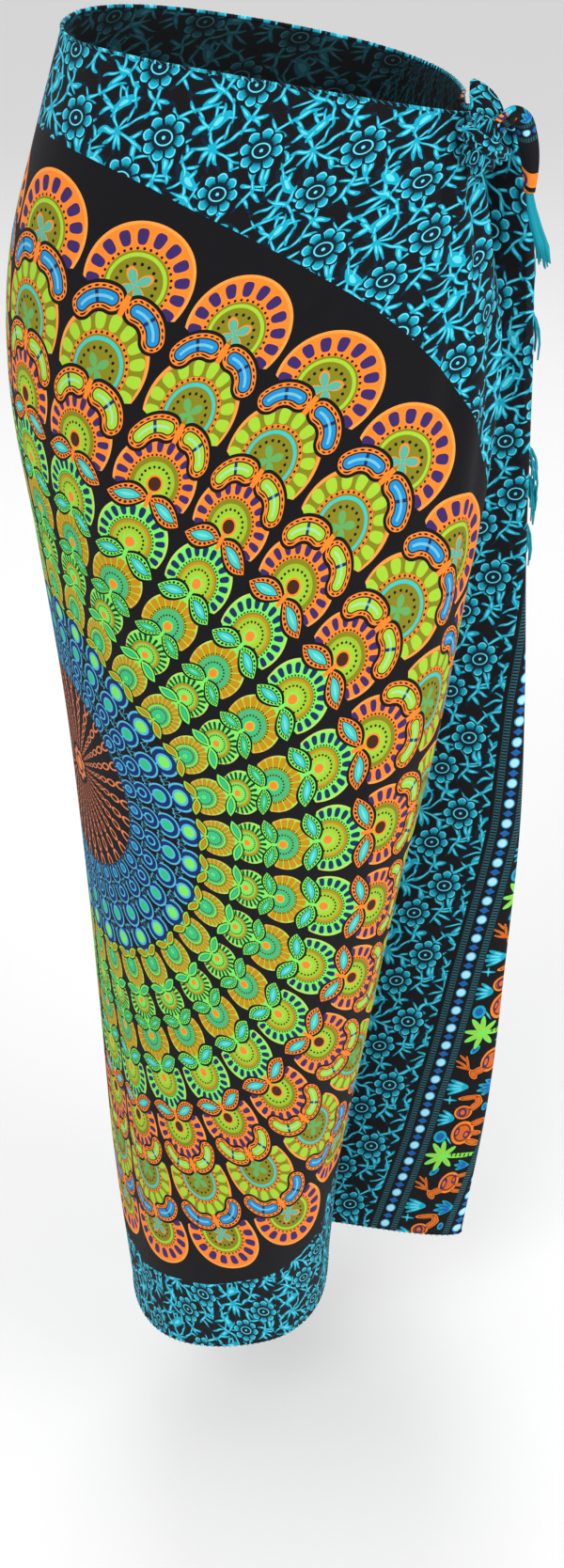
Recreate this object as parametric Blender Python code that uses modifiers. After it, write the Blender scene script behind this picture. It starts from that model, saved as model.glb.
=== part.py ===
"""A wrapped sarong, tied at the wearer's left hip, in metres.

+Z is up, -Y is the wearer's front and +X is the wearer's left, where the knot is.
The origin is the middle of the waist opening. The cloth is one rectangle: its
sections, from the waist edge to the hem, are worked out from the table LEVELS.
"""
import bpy
import bmesh
import math
import numpy as np
from mathutils import Vector

CLOTH_WALL = 0.0016
SEAM_GAP = 0.0003
LAP = 0.0085          # from one layer of a fold to the next

# Heights of the waist edge and of the hem
WAIST_MIDDLE_Z = 0.026
WAIST_SLOPE = -0.19   # the waist edge falls towards the knot
WAIST_CURL = 0.9      # and rises a little at the front and the back
HEM_Z = -0.940

# One row for each level of the wrap. drop runs from 0, the waist edge, to 1, the hem.
#   left_x             the plain hip's side
#   mid_x, front_y     the foremost point, back_y the rearmost
#   roll_x, roll_y     where the front panel rolls in beside the flap
#   valley_x, valley_y the fold behind that roll
#   edge_x, edge_y     the flap's own folded edge
#   turn_x, end_x      the strip behind the flap, and the cloth's end
#   right_x, right_y   where the back panel turns in, under the flap
#   tuck_x, tuck_y     the back panel's hidden end
#   hang               how deep the back panel's hanging folds are
COLUMNS = ("drop", "left_x", "mid_x", "front_y", "back_y", "roll_x", "roll_y", "valley_x", "valley_y",
           "edge_x", "edge_y", "turn_x", "end_x", "right_x", "right_y", "tuck_x", "tuck_y", "hang")
LEVELS = (
    (0.00, -.121, .000, -.083, .080, .120, -.046, .113, -.036,
     .150, -.041, .141, .156, .119, .010, .111, -.018, .000),
    (0.06, -.140, .000, -.098, .097, .129, -.052, .119, -.037,
     .161, -.036, .148, .167, .127, .016, .119, -.020, .001),
    (0.14, -.163, .000, -.112, .112, .139, -.056, .124, -.036,
     .168, -.022, .152, .174, .134, .022, .122, -.014, .003),
    (0.22, -.170, -.002, -.123, .121, .135, -.058, .112, -.030,
     .171, -.008, .150, .178, .137, .034, .112, .000, .007),
    (0.32, -.161, -.006, -.131, .124, .123, -.055, .088, -.020,
     .174, .006, .146, .172, .138, .056, .090, .030, .011),
    (0.44, -.151, -.012, -.135, .124, .107, -.050, .056, -.004,
     .178, .014, .134, .132, .137, .082, .066, .058, .015),
    (0.56, -.146, -.024, -.133, .126, .085, -.042, .030, .012,
     .177, .018, .116, .086, .136, .100, .050, .070, .018),
    (0.70, -.143, -.036, -.127, .128, .064, -.030, .008, .024,
     .171, .019, .096, .050, .134, .112, .040, .074, .020),
    (0.84, -.141, -.046, -.117, .130, .043, -.014, -.010, .031,
     .163, .019, .078, .028, .133, .118, .034, .075, .021),
    (1.00, -.133, -.054, -.103, .132, .031, .004, -.022, .036,
     .145, .020, .056, .010, .132, .122, .030, .076, .022),
)
BODY_FULLNESS = 2.5   # exponent of the rounded quarters of the figure

# Folds that hang down the back, as shares of the way from the plain hip to the other side
HANGING_FOLDS = 4.5
HANG_PHASE = .18
HANG_FROM, HANG_FADE_IN = .20, .25
HANG_TO, HANG_FADE_OUT = .70, .14

# Gathers that fan out from the knot: they spread with the drop, and fade out above the knee
GATHERS = 3
GATHER_DEPTH = 0.0022
GATHER_PITCH, GATHER_SPREAD = .020, .070
GATHER_BIRTH, GATHER_END, GATHER_FADE = .08, .46, .30

# Corners of the flap's section, as shares of its width and of its rise, from the hidden fold outwards
FLAP_SHAPE = ((0, 0), (.30, .25), (.58, .75))
DOUBLED_WIDTH = .02    # the strip behind the flap stands further off where it overlaps itself by this much

# Where the stretches meet: shares of the way from the tucked end to the side, and from the roll to the
# fold behind it
BACK_SEAM = 0.55
FRONT_SEAM = 0.62

# Columns of the walls between one landmark of a section and the next
STRETCH_COLUMNS = {
    "back_end": (("start", "back_seam", 8),),
    "wrap": (("back_seam", "hip", 38), ("hip", "roll", 24), ("roll", "front_seam", 5)),
    "front_end": (("front_seam", "edge", 17), ("edge", "end", 14)),
}
ROW_DROPS = (0, .03, .06, .10, .14, .18, .22, .27, .32, .38, .44, .50, .56, .63, .70, .77, .84, .92, 1)
TURN_WEIGHT = 0.016   # columns crowd where the cloth turns

# The knot and what stands out of it
KNOT_CENTRE = (0.1300, -0.0751, -0.0150)
KNOT_HALF = (0.0145, 0.0120, 0.0215)
KNOT_RIDGES, KNOT_RIDGE, KNOT_TWIST = 5, 0.10, 2.2
KNOT_PINCH, KNOT_PINCH_HEIGHT = 0.16, 0.30
KNOT_TILT = 18         # degrees
CORNER_ROUTE = ((.1382, -.0750, .0076), (.1442, -.0710, .0141), (.1497, -.0660, .0086),
                (.1517, -.0620, -.0064), (.1507, -.0590, -.0244), (.1527, -.0565, -.0384))
CORNER_WIDTHS = (.008, .012, .015, .017, .018, .015)
EAR_ROUTE = ((.1292, -.0725, .0040), (.1264, -.0695, .0115), (.1224, -.0650, .0185), (.1177, -.0610, .0250))
EAR_WIDTHS = (.012, .017, .014, .005)

# Fringe: each strand is drawn out of its backing strip in three steps
BACKING_WIDTH = 0.0030
FRINGE_GAP = 0.0009    # the cloth's edge runs aslant, so this leaves about 0.3 mm at the wall's corners
STRAND_STEPS = ((0.0095, 0.0045, 0.75), (0.0095, 0.0145, 0.80), (0.0070, 0.0190, 0.45))
STRAND_ROOT = 0.0036
EDGE_STRANDS = 48
TUCK_STRANDS = 28
CORNER_STRANDS = 5
TAIL_STEPS = ((.012, 0, .85), (.014, 0, .9), (.014, 0, .5))
TAIL_AWAY = (0.10, 0.02, -0.995)
TAIL_FACING = (0.16, -0.987, 0)
# Where the strip behind the flap turns over, its strands lean back, clear of it
CLEARING, CLEARING_DROP, CLEARING_REACH = 1.6, 0.41, 0.07

BLACK_CLOTH = (0.010, 0.010, 0.014)
TEAL_THREAD = (0.020, 0.300, 0.330)


def clear_scene():
    for thing in list(bpy.data.objects):
        bpy.data.objects.remove(thing, do_unlink=True)


def make_material(name, colour, roughness):
    material = bpy.data.materials.new(name)
    material.use_nodes = True
    shader = material.node_tree.nodes["Principled BSDF"]
    shader.inputs["Base Color"].default_value = (*colour, 1)
    shader.inputs["Roughness"].default_value = roughness
    shader.inputs["Metallic"].default_value = 0
    return material


def level(drop):
    """The table's named sizes at this drop, on smooth curves through its rows."""
    table = np.array(LEVELS)
    drops, sizes = table[:, 0], table[:, 1:]
    slopes = np.gradient(sizes, drops, axis=0)
    row = int(np.clip(np.searchsorted(drops, drop) - 1, 0, len(drops) - 2))
    step = drops[row + 1] - drops[row]
    part = (drop - drops[row]) / step
    value = (sizes[row] * (2 * part**3 - 3 * part**2 + 1)
             + slopes[row] * step * (part**3 - 2 * part**2 + part)
             + sizes[row + 1] * (3 * part**2 - 2 * part**3)
             + slopes[row + 1] * step * (part**3 - part**2))
    return dict(zip(COLUMNS[1:], value))


def quarter(start, end, leaves_along_y, points=5):
    """A rounded quarter of the figure's section, from one of its four sides to the next."""
    angle = np.linspace(0, math.pi / 2, points)
    falling = np.cos(angle) ** (2 / BODY_FULLNESS)
    rising = np.sin(angle) ** (2 / BODY_FULLNESS)
    if leaves_along_y:
        x = end[0] + (start[0] - end[0]) * falling
        y = start[1] + (end[1] - start[1]) * rising
    else:
        x = start[0] + (end[0] - start[0]) * rising
        y = end[1] + (start[1] - end[1]) * falling
    return list(zip(x, y))


def section_corners(size):
    """Corner points of one level's section, from the tucked end round the body to the flap's end."""
    hip = (size["left_x"], 0.0)
    rear = (size["mid_x"] / 2, size["back_y"])
    side = (size["right_x"], size["right_y"])
    tuck = (size["tuck_x"], size["tuck_y"])
    back = quarter(hip, rear, True) + quarter(rear, side, False)[1:]
    side_corner = len(back) - 1
    back.append((side[0] - .004, (side[1] + tuck[1]) / 2))
    back.append((side[0] + .35 * (tuck[0] - side[0]), tuck[1] + .12 * (side[1] - tuck[1])))
    back.append(tuck)
    corners = back[::-1]
    marks = {"hip": len(corners) - 1, "side": len(corners) - 1 - side_corner}

    front = (size["mid_x"], size["front_y"])
    roll = (size["roll_x"], size["roll_y"])
    corners += quarter(hip, front, True)[1:] + quarter(front, roll, False)[1:]
    marks["roll"] = len(corners) - 1

    valley = (size["valley_x"], size["valley_y"])
    depth, rise = roll[0] - valley[0], valley[1] - roll[1]
    corners.append((roll[0] - .06 * depth, roll[1] + .50 * rise))
    corners.append((valley[0] + .52 * depth, valley[1] - .14 * rise))
    corners.append(valley)
    marks["valley"] = len(corners) - 1

    lap_y = valley[1] + LAP
    edge = (size["edge_x"], size["edge_y"])
    wide, fall = edge[0] - valley[0], edge[1] - lap_y
    flap = [(valley[0] + share * wide, lap_y + rise_share * fall) for share, rise_share in FLAP_SHAPE]
    flap += [(valley[0] + .82 * wide, edge[1] - .002), (edge[0] - .007, edge[1] - .003)]
    corners += flap
    corners.append((edge[0], edge[1] + .001))
    marks["edge"] = len(corners) - 1

    flap_x, flap_y = zip(*flap)
    turn_x, end_x = size["turn_x"], size["end_x"]
    doubled = float(np.clip((end_x - turn_x) / DOUBLED_WIDTH, 0, 1))

    def behind(x, laps):
        return x, float(np.interp(x, flap_x, flap_y)) + laps * LAP

    corners.append((edge[0] - .006, edge[1] + LAP))
    corners.append(behind((edge[0] + turn_x) / 2, 1.15))
    corners.append(behind(turn_x, 1.3))
    corners.append(behind((turn_x + end_x) / 2 - .001, 1.45 + .75 * doubled))
    corners.append((end_x, behind(min(end_x, edge[0]), 1.6 + 1.2 * doubled)[1]))
    return np.array(corners), marks


def cut_corners(points, times=3):
    """Rounds a polyline by cutting its corners, and says which corner each new point came from."""
    index = np.arange(len(points), dtype=float)
    for _ in range(times):
        near = .75 * points[:-1] + .25 * points[1:]
        far = .25 * points[:-1] + .75 * points[1:]
        near_index = .75 * index[:-1] + .25 * index[1:]
        far_index = .25 * index[:-1] + .75 * index[1:]
        middle = np.stack([near, far], 1).reshape(-1, 2)
        middle_index = np.stack([near_index, far_index], 1).reshape(-1)
        points = np.concatenate([points[:1], middle, points[-1:]])
        index = np.concatenate([index[:1], middle_index, index[-1:]])
    return points, index


def lengths_along(points):
    return np.concatenate([[0], np.cumsum(np.linalg.norm(np.diff(points, axis=0), axis=1))])


def outward(points):
    """Unit normals that point out of the wrap, to the right of the way that the section runs."""
    ahead = np.gradient(points, axis=0)
    ahead /= np.linalg.norm(ahead, axis=1)[:, None]
    return np.stack([ahead[:, 1], -ahead[:, 0]], 1)


def smooth_step(value):
    value = np.clip(value, 0, 1)
    return value * value * (3 - 2 * value)


def section(drop, samples=1000):
    """Points of one level's section, their lengths along it from the hip, and where its landmarks are."""
    size = level(drop)
    corners, marks = section_corners(size)
    rounded, index = cut_corners(corners)
    rough = lengths_along(rounded)
    at = {name: float(np.interp(place, index, rough)) for name, place in marks.items()}
    run = np.linspace(0, rough[-1], samples)
    points = np.stack([np.interp(run, rough, rounded[:, 0]), np.interp(run, rough, rounded[:, 1])], 1)

    back = (at["hip"] - run) / at["hip"]
    reach = smooth_step((back - HANG_FROM) / HANG_FADE_IN) * smooth_step((HANG_TO - back) / HANG_FADE_OUT)
    push = size["hang"] * reach * np.sin(2 * math.pi * HANGING_FOLDS * (back - HANG_PHASE))
    from_roll = (at["roll"] - run) / (GATHER_PITCH + GATHER_SPREAD * drop)
    fan = smooth_step(from_roll + .4) * smooth_step((GATHERS - from_roll) / 1.5)
    depth = GATHER_DEPTH * smooth_step(drop / GATHER_BIRTH) * smooth_step((GATHER_END - drop) / GATHER_FADE)
    push += depth * fan * np.sin(2 * math.pi * from_roll)
    points = points + outward(points) * push[:, None]

    length = lengths_along(points)
    landmarks = {name: float(np.interp(place, run, length)) for name, place in at.items()}
    landmarks["start"], landmarks["end"] = 0.0, float(length[-1])
    # The stretches meet where the cloth lies flattest, out of sight
    landmarks["back_seam"] = BACK_SEAM * landmarks["side"]
    landmarks["front_seam"] = landmarks["roll"] + FRONT_SEAM * (landmarks["valley"] - landmarks["roll"])
    return points, length, landmarks


def height(drop, x, y):
    waist = WAIST_MIDDLE_Z + WAIST_SLOPE * x + WAIST_CURL * y * y
    return waist + (HEM_Z - waist) * drop


def crowded(points, length, start, end, columns):
    """Lengths of the columns between two landmarks, closer together where the section turns."""
    ahead = np.gradient(points, length, axis=0)
    heading = np.unwrap(np.arctan2(ahead[:, 1], ahead[:, 0]))
    effort = length + TURN_WEIGHT * np.concatenate([[0], np.cumsum(np.abs(np.diff(heading)))])
    first, last = np.interp([start, end], length, effort)
    return np.interp(np.linspace(first, last, columns + 1), effort, length)


def rail(points, length, places, drop):
    """Points in space at these lengths along a section."""
    x = np.interp(places, length, points[:, 0])
    y = np.interp(places, length, points[:, 1])
    return np.stack([x, y, height(drop, x, y)], 1)


def stretch_rows(name):
    rows = []
    spans = STRETCH_COLUMNS[name]
    for drop in ROW_DROPS:
        points, length, landmarks = section(drop)
        places = []
        for start, end, columns in spans:
            run = crowded(points, length, landmarks[start], landmarks[end], columns)
            places += list(run if not places else run[1:])
        if spans[0][0] != "start":
            places[0] += SEAM_GAP
        if spans[-1][1] != "end":
            places[-1] -= SEAM_GAP
        rows.append(rail(points, length, np.array(places), drop))
    return rows


def sheet_object(name, rows, material, thickness=CLOTH_WALL):
    """An open grid of points, given a wall with Solidify."""
    mesh = bpy.data.meshes.new(name)
    shell = bmesh.new()
    grid = [[shell.verts.new(point) for point in row] for row in rows]
    for upper, lower in zip(grid[:-1], grid[1:]):
        for left in range(len(upper) - 1):
            shell.faces.new((upper[left], lower[left], lower[left + 1], upper[left + 1]))
    shell.to_mesh(mesh)
    shell.free()
    mesh.shade_smooth()
    mesh.materials.append(material)
    piece = bpy.data.objects.new(name, mesh)
    COLLECTION.objects.link(piece)
    wall = piece.modifiers.new("wall", "SOLIDIFY")
    wall.thickness = thickness
    wall.offset = 0
    return piece


def ribbon_rows(route, widths, across, curl, columns=5, fine=3):
    """Rows of a narrow strip of cloth along a route, bowed across by curl."""
    route, widths = np.array(route), np.array(widths)
    steps = np.linspace(0, len(route) - 1, (len(route) - 1) * fine + 1)
    index = np.arange(len(route))
    line = np.stack([np.interp(steps, index, route[:, axis]) for axis in range(3)], 1)
    line[1:-1] = (line[:-2] + 2 * line[1:-1] + line[2:]) / 4
    wide = np.interp(steps, index, widths)
    ahead = np.gradient(line, axis=0)
    ahead /= np.linalg.norm(ahead, axis=1)[:, None]
    side = np.cross(ahead, np.array(across))
    side /= np.linalg.norm(side, axis=1)[:, None]
    face = np.cross(side, ahead)
    share = np.linspace(-.5, .5, columns)
    share = share[:, None]
    bow = 4 * curl * share ** 2
    return [line[i] + wide[i] * (share * side[i] - bow * face[i]) for i in range(len(line))]


def make_knot(material):
    """The gathered lump where both top corners are tied."""
    lump = bmesh.new()
    bmesh.ops.create_uvsphere(lump, u_segments=20, v_segments=11, radius=1)
    half = Vector(KNOT_HALF)
    for vert in lump.verts:
        around = math.atan2(vert.co.z, vert.co.x)
        twist = math.sin(KNOT_RIDGES * around + KNOT_TWIST * vert.co.y)
        ridge = 1 + KNOT_RIDGE * twist * (1 - vert.co.y ** 2)
        pinch = 1 - KNOT_PINCH * math.exp(-(vert.co.z / KNOT_PINCH_HEIGHT) ** 2)
        vert.co = ridge * Vector((vert.co.x * half.x * pinch, vert.co.y * half.y, vert.co.z * half.z))
    mesh = bpy.data.meshes.new("knot")
    lump.to_mesh(mesh)
    lump.free()
    mesh.shade_smooth()
    mesh.materials.append(material)
    knot = bpy.data.objects.new("knot", mesh)
    knot.location = KNOT_CENTRE
    knot.rotation_euler = (0, math.radians(KNOT_TILT), 0)
    COLLECTION.objects.link(knot)
    return knot


def fringe_object(name, edge, away, facing, lean, material, steps=STRAND_STEPS):
    """A narrow backing strip beside a cloth edge, with one four-sided strand drawn out for each root.

    edge holds two points for each strand, where its root starts and ends. away points out
    of the cloth's edge, facing is the cloth's own normal there, and lean is the strands' way.
    """
    comb = bmesh.new()
    rings = []
    for point, out, normal in zip(edge, away, facing):
        near = Vector(point) + Vector(out) * FRINGE_GAP
        far = near + Vector(out) * BACKING_WIDTH
        lift = Vector(normal) * CLOTH_WALL / 2
        ring = (near - lift, near + lift, far + lift, far - lift)
        rings.append([comb.verts.new(corner) for corner in ring])
    comb.faces.new(rings[0])
    comb.faces.new(rings[-1][::-1])
    roots = []
    for station, (ring, following) in enumerate(zip(rings[:-1], rings[1:])):
        for side in range(4):
            following_side = (side + 1) % 4
            corners = (ring[side], following[side], following[following_side], ring[following_side])
            face = comb.faces.new(corners)
            if side == 2 and station % 2 == 0:
                roots.append((face, Vector(lean[station])))
    for face, out in roots:
        for reach, fall, taper in steps:
            face = bmesh.ops.extrude_discrete_faces(comb, faces=[face])["faces"][0]
            move = out * reach + Vector((0, 0, -fall))
            bmesh.ops.translate(comb, verts=face.verts, vec=move)
            centre = face.calc_center_median()
            for vert in face.verts:
                vert.co = centre + (vert.co - centre) * taper
    bmesh.ops.recalc_face_normals(comb, faces=comb.faces)
    mesh = bpy.data.meshes.new(name)
    comb.to_mesh(mesh)
    comb.free()
    mesh.materials.append(material)
    fringe = bpy.data.objects.new(name, mesh)
    COLLECTION.objects.link(fringe)
    return fringe


def edge_fringe(name, mark, strands, first_drop, last_drop, material):
    """Fringe down the cloth's end at this landmark: end, behind the flap, or start, the tucked one."""
    last, inner = (-1, -9) if mark == "end" else (0, 8)
    ends, outs = [], []
    for drop in ROW_DROPS:
        points = section(drop)[0]
        out = points[last] - points[inner]
        x, y = points[last]
        ends.append((x, y, height(drop, x, y)))
        outs.append(out / np.linalg.norm(out))
    ends, outs = np.array(ends), np.array(outs)
    edge, away, facing, lean = [], [], [], []
    pitch = (last_drop - first_drop) / (strands - 1)
    for strand in range(strands):
        top = first_drop + strand * pitch
        for drop in (top, top + STRAND_ROOT):
            edge.append([float(np.interp(drop, ROW_DROPS, ends[:, axis])) for axis in range(3)])
            x, y = (float(np.interp(drop, ROW_DROPS, outs[:, axis])) for axis in range(2))
            x, y = x / math.hypot(x, y), y / math.hypot(x, y)
            away.append((x, y, 0))
            facing.append((y, -x, 0))
            clear = CLEARING * math.exp(-((drop - CLEARING_DROP) / CLEARING_REACH) ** 2)
            lean.append(Vector((x, y + clear, 0)).normalized())
    return fringe_object(name, edge, away, facing, lean, material)


def tail_fringe(name, row, material):
    """The tassel at the end of the corner that sticks out of the knot."""
    row = np.array(row)
    edge = []
    for strand in range(CORNER_STRANDS):
        start = strand / CORNER_STRANDS + .02
        for share in (start, start + .62 / CORNER_STRANDS):
            place = share * (len(row) - 1)
            edge.append([float(np.interp(place, np.arange(len(row)), row[:, axis])) for axis in range(3)])
    away = [TAIL_AWAY] * len(edge)
    facing = [TAIL_FACING] * len(edge)
    return fringe_object(name, edge, away, facing, away, material, TAIL_STEPS)


clear_scene()
COLLECTION = bpy.data.collections.new("sarong")
bpy.context.scene.collection.children.link(COLLECTION)
cloth = make_material("printed_cloth", BLACK_CLOTH, 0.8)
thread = make_material("fringe_thread", TEAL_THREAD, 0.9)

for stretch in STRETCH_COLUMNS:
    sheet_object(stretch, stretch_rows(stretch), cloth)

make_knot(cloth)
corner_rows = ribbon_rows(CORNER_ROUTE, CORNER_WIDTHS, (-.25, -.97, 0), .18)
sheet_object("knot_corner", corner_rows, cloth)
sheet_object("knot_ear", ribbon_rows(EAR_ROUTE, EAR_WIDTHS, (.1, -.99, 0), .22), cloth)

edge_fringe("end_fringe", "end", EDGE_STRANDS, .045, .985, thread)
edge_fringe("tuck_fringe", "start", TUCK_STRANDS, .12, .985, thread)
tail_fringe("corner_fringe", corner_rows[-1], thread)
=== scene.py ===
# %% [markdown]
# A sarong is one rectangle of thin printed cloth. It goes round the body and is held by a knot of
# its own two top corners. Nothing is cut to shape, so all that makes it look like a garment is how
# the cloth hangs: this lesson gives one flat sheet its folds, and then prints it.

# %% The frame
import math
import bpy
import numpy as np
from mathutils import Matrix, Vector


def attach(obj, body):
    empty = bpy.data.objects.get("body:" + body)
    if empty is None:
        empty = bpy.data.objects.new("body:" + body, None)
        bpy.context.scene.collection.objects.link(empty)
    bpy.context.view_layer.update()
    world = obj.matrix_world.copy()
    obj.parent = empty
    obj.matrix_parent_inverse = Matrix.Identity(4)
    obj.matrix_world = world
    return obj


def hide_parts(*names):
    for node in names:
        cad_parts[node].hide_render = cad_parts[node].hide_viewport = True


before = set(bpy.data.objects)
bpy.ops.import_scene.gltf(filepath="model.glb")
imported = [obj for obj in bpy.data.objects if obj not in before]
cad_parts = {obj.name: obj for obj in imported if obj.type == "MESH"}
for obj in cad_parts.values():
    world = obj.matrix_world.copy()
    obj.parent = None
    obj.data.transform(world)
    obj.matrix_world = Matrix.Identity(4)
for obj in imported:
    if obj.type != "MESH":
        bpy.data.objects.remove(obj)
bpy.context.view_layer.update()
print("frame:", len(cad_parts), "nodes")

# %% [markdown]
# The camera comes first, so that each piece can be judged from where the real one is seen. It stands
# in front, a little above the waist, and looks down, which is why the hem seems narrow.

# %% The camera
PICTURE_HIGH = 1668       # pixels
FOCAL_LENGTH = 2200       # pixels
CAMERA_DISTANCE, CAMERA_HEIGHT = 1.263, 0.308
LOOKS_DOWN, LEANS = 31.9, 1.19      # degrees

lens = bpy.data.cameras.new("camera")
lens.sensor_fit = "VERTICAL"
lens.sensor_height = 36
lens.lens = FOCAL_LENGTH * lens.sensor_height / PICTURE_HIGH
camera = bpy.data.objects.new("camera", lens)
bpy.context.scene.collection.objects.link(camera)
tilt = Matrix.Rotation(math.radians(90 - LOOKS_DOWN), 4, "X")
lean = Matrix.Rotation(math.radians(-LEANS), 4, "Z")
camera.matrix_world = Matrix.Translation((0, -CAMERA_DISTANCE, CAMERA_HEIGHT)) @ tilt @ lean
bpy.context.scene.camera = camera
print("camera lens:", round(lens.lens, 2), "mm")

# %% [markdown]
# The wrap is described by its sections: the line that the cloth draws at one level, from its hidden
# end, round the back and the front, to the free end behind the flap. A short table holds the places
# of the turns at ten levels, and smooth curves run through its rows. drop is 0 at the waist edge and
# 1 at the hem.

# %% Sizes of the wrap
COLUMNS = ("drop", "hip_x", "mid_x", "front_y", "back_y", "roll_x", "roll_y", "valley_x", "valley_y",
           "edge_x", "edge_y", "turn_x", "end_x", "side_x", "side_y", "tuck_x", "tuck_y", "hang")
LEVELS = np.array((       # thousandths of the drop, and millimetres
    (0, -121, 0, -83, 80, 120, -46, 113, -36, 147, -41, 139, 144, 119, 10, 111, -18, 0),
    (60, -140, 0, -98, 97, 129, -52, 119, -37, 158, -36, 146, 152, 127, 16, 119, -20, 1),
    (140, -163, 0, -112, 112, 139, -56, 124, -36, 164, -22, 149, 156, 134, 22, 122, -14, 3),
    (220, -170, -2, -123, 121, 135, -58, 112, -30, 167, -8, 147, 159, 137, 34, 112, 0, 7),
    (320, -161, -6, -131, 124, 123, -55, 88, -20, 170, 6, 143, 160, 138, 56, 90, 30, 11),
    (440, -151, -12, -135, 124, 107, -50, 56, -4, 175, 14, 132, 130, 137, 82, 66, 58, 15),
    (560, -146, -24, -133, 126, 85, -42, 30, 12, 177, 18, 116, 86, 136, 100, 50, 70, 18),
    (700, -143, -36, -127, 128, 64, -30, 8, 24, 171, 19, 96, 50, 134, 112, 40, 74, 20),
    (840, -141, -46, -117, 130, 43, -14, -10, 31, 163, 19, 78, 28, 133, 118, 34, 75, 21),
    (1000, -133, -54, -103, 132, 31, 4, -22, 36, 145, 20, 56, 10, 132, 122, 30, 76, 22),
)) / 1000
LAP = 0.0085              # from one layer of cloth to the next
WAIST_MIDDLE_Z, WAIST_SLOPE, WAIST_CURL, HEM_Z = 0.026, -0.19, 0.9, -0.940
BODY_FULLNESS = 2.5       # 2 makes an ellipse, and more is squarer

# The back's folds: how many, where in a wave they start, and the share of the back that they cover
HANGING_FOLDS, HANG_PHASE = 4.5, .18
HANG_FROM, HANG_FADE_IN, HANG_TO, HANG_FADE_OUT = .20, .25, .70, .14

# The gathers beside the roll, which spread as they run down
GATHERS, GATHER_DEPTH = 3, 0.0022
GATHER_PITCH, GATHER_SPREAD = .020, .070
GATHER_BIRTH, GATHER_END, GATHER_FADE = .08, .46, .30
FLAP_SHAPE = ((0, 0), (.30, .25), (.58, .75))
DOUBLED_WIDTH = .02


def smooth_through(knots, values, at):
    """A smooth curve through the values at the knots, read at one place or at many."""
    at = np.clip(at, knots[0], knots[-1])
    slopes = np.gradient(values, knots, axis=0)
    first = np.clip(np.searchsorted(knots, at) - 1, 0, len(knots) - 2)
    step = knots[first + 1] - knots[first]
    part = (at - knots[first]) / step
    return (values[first] * (2 * part**3 - 3 * part**2 + 1)
            + slopes[first] * step * (part**3 - 2 * part**2 + part)
            + values[first + 1] * (3 * part**2 - 2 * part**3)
            + slopes[first + 1] * step * (part**3 - part**2))


def level(drop):
    """The table's named sizes at this drop."""
    return dict(zip(COLUMNS[1:], smooth_through(LEVELS[:, 0], LEVELS[:, 1:], drop)))


print("levels:", len(LEVELS), "with", len(COLUMNS) - 1, "sizes each")

# %% [markdown]
# A section begins as a line of corners: the tucked end, the side, the rounded back and front, the
# roll and the valley beside the flap, the flap's folded edge, and the free end behind it. Cutting
# its corners a few times rounds it, as cloth never turns on a point. Then its soft folds are added.

# %% One level's section
def quarter(start, end, leaves_along_y, points=5):
    """A rounded quarter of the figure's section."""
    angle = np.linspace(0, math.pi / 2, points)
    first, second = 1 - np.cos(angle) ** (2 / BODY_FULLNESS), np.sin(angle) ** (2 / BODY_FULLNESS)
    shares = np.stack([first, second] if leaves_along_y else [second, first], 1)
    return list(start + (np.array(end) - start) * shares)


def section_corners(size):
    """Corner points of one level's section, and which of them are landmarks."""
    side, tuck, roll, valley, edge = [(size[name + "_x"], size[name + "_y"])
                                      for name in ("side", "tuck", "roll", "valley", "edge")]
    hip, front = (size["hip_x"], 0.0), (size["mid_x"], size["front_y"])
    rear = (size["mid_x"] / 2, size["back_y"])
    back = quarter(hip, rear, True) + quarter(rear, side, False)[1:]
    side_corner = len(back) - 1
    back.append((side[0] - .004, (side[1] + tuck[1]) / 2))
    back.append((side[0] + .35 * (tuck[0] - side[0]), tuck[1] + .12 * (side[1] - tuck[1])))
    back.append(tuck)
    corners = back[::-1]
    marks = {"hip": len(corners) - 1, "side": len(corners) - 1 - side_corner}
    corners += quarter(hip, front, True)[1:] + quarter(front, roll, False)[1:]
    marks["roll"] = len(corners) - 1

    depth, rise = roll[0] - valley[0], valley[1] - roll[1]
    corners.append((roll[0] - .06 * depth, roll[1] + .50 * rise))
    corners.append((valley[0] + .52 * depth, valley[1] - .14 * rise))
    corners.append(valley)
    marks["valley"] = len(corners) - 1

    lap_y = valley[1] + LAP
    wide, fall = edge[0] - valley[0], edge[1] - lap_y
    flap = [(valley[0] + share * wide, lap_y + rise_share * fall) for share, rise_share in FLAP_SHAPE]
    flap += [(valley[0] + .82 * wide, edge[1] - .002), (edge[0] - .007, edge[1] - .003)]
    corners += flap
    corners.append((edge[0], edge[1] + .001))
    marks["edge"] = len(corners) - 1

    flap_x, flap_y = zip(*flap)
    turn_x, end_x = size["turn_x"], size["end_x"]
    doubled = float(np.clip((end_x - turn_x) / DOUBLED_WIDTH, 0, 1))

    def behind(x, laps):
        return x, float(np.interp(x, flap_x, flap_y)) + laps * LAP

    corners.append((edge[0] - .006, edge[1] + LAP))
    corners.append(behind((edge[0] + turn_x) / 2, 1.15))
    corners.append(behind(turn_x, 1.3))
    corners.append(behind((turn_x + end_x) / 2 - .001, 1.45 + .75 * doubled))
    corners.append((end_x, behind(min(end_x, edge[0]), 1.6 + 1.2 * doubled)[1]))
    return np.array(corners), marks


def cut_corners(points, times=4):
    """Rounds a line of points by cutting its corners, and says where each new point came from."""
    line = np.column_stack([points, np.arange(len(points))])
    for _ in range(times):
        near, far = .75 * line[:-1] + .25 * line[1:], .25 * line[:-1] + .75 * line[1:]
        line = np.concatenate([line[:1], np.stack([near, far], 1).reshape(-1, 3), line[-1:]])
    return line[:, :2], line[:, 2]


def lengths_along(points):
    return np.concatenate([[0], np.cumsum(np.linalg.norm(np.diff(points, axis=0), axis=1))])


def line_at(places, lengths, points):
    """The points of a line at these lengths along it."""
    return np.stack([np.interp(places, lengths, axis) for axis in points.T], -1)


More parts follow.
